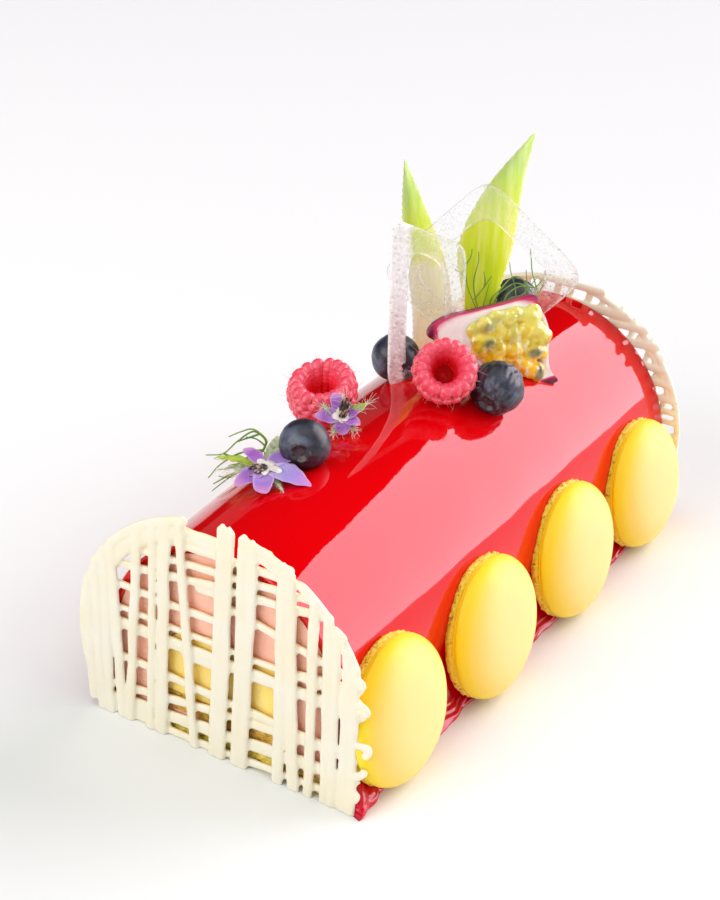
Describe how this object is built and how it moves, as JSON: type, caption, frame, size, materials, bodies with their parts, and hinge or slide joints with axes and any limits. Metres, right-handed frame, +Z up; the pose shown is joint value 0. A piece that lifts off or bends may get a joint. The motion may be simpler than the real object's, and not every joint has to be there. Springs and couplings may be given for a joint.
{
  "type": "yule log cake",
  "caption": "Mousse yule log cake under red mirror glaze, with piped white chocolate lattice ends, macaron shells along one side and fruit, sugar rings, leaves and flowers on top.",
  "frame": {"origin": "centre of the log's underside, on the surface that it stands on", "axes": "+Z up; +Y along the log, away from its served end; +X towards the macaron shells"},
  "size_m": [0.109, 0.207, 0.1413],
  "materials": {
    "glaze": "mirror gloss, deep red, slightly see-through",
    "mousse": "fine aerated mousse, soft sheen",
    "fruit_insert": "moist set fruit cream",
    "biscuit": "moist baked crumb",
    "sponge": "moist green nut sponge",
    "white_chocolate": "satin set white chocolate",
    "macaron": "dry smooth meringue shell, ruffled foot",
    "blueberry": "waxy skin with a pale bloom",
    "raspberry": "juicy drupelets with fine hairs",
    "passion_rind": "smooth dark rind, white to pink pith at the cut",
    "passion_pulp": "wet pulp with grey-green seeds",
    "bubble_sugar": "clear cooked sugar full of small bubbles",
    "pineapple_leaf": "stiff leaf, satin, paler streaks",
    "borage": "thin petals, lilac to violet",
    "fennel": "fine green threads"
  },
  "bodies": {
    "root": {"mirror_glaze": "glaze", "mousse": "mousse", "fruit_insert": "fruit_insert", "insert_biscuit": "biscuit", "sponge_base": "sponge", "near_lattice": "white_chocolate", "far_lattice": "white_chocolate", "macaron_1": "macaron", "macaron_2": "macaron", "macaron_3": "macaron", "macaron_4": "macaron", "blueberry_1": "blueberry", "blueberry_2": "blueberry", "blueberry_3": "blueberry", "blueberry_4": "blueberry", "raspberry_1": "raspberry", "raspberry_2": "raspberry", "passion_rind": "passion_rind", "passion_pulp": "passion_pulp", "sugar_ring_1": "bubble_sugar", "sugar_ring_2": "bubble_sugar", "pineapple_leaf_1": "pineapple_leaf", "pineapple_leaf_2": "pineapple_leaf", "borage_flower_1": "borage", "borage_flower_2": "borage", "fennel_sprig_1": "fennel", "fennel_sprig_2": "fennel"}
  },
  "joints": []
}
